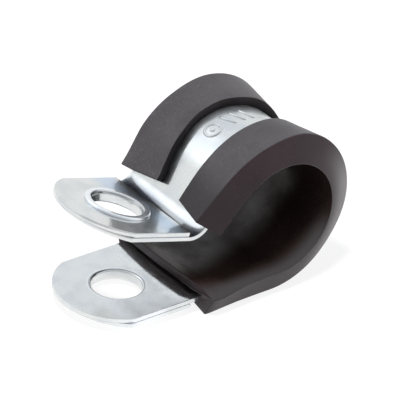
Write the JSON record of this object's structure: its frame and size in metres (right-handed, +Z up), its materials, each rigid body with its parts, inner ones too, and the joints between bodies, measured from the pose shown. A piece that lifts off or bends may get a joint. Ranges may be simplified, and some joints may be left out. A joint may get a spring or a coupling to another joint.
{
  "type": "cushioned clamp",
  "caption": "P-shaped steel strap clamp, sprung open: a rubber-cushioned loop that holds a pipe or cable, ending in stiffened tabs with screw holes that close together on a panel.",
  "frame": {"origin": "middle of the lower screw hole, on the face of the strap's lower tab that meets the upper tab when the clamp closes", "axes": "+X from the lower hole to the loop, +Y across the strap along the pipe, +Z up from the lower tab to the upper one"},
  "size_m": [0.0373, 0.0192, 0.0216],
  "materials": {
    "zinc_steel": "bright zinc plating, satin",
    "rubber": "matte"
  },
  "bodies": {
    "root": {"strap": "zinc_steel", "lower_plate": "zinc_steel", "upper_plate": "zinc_steel", "rubber_liner": "rubber"}
  },
  "joints": []
}
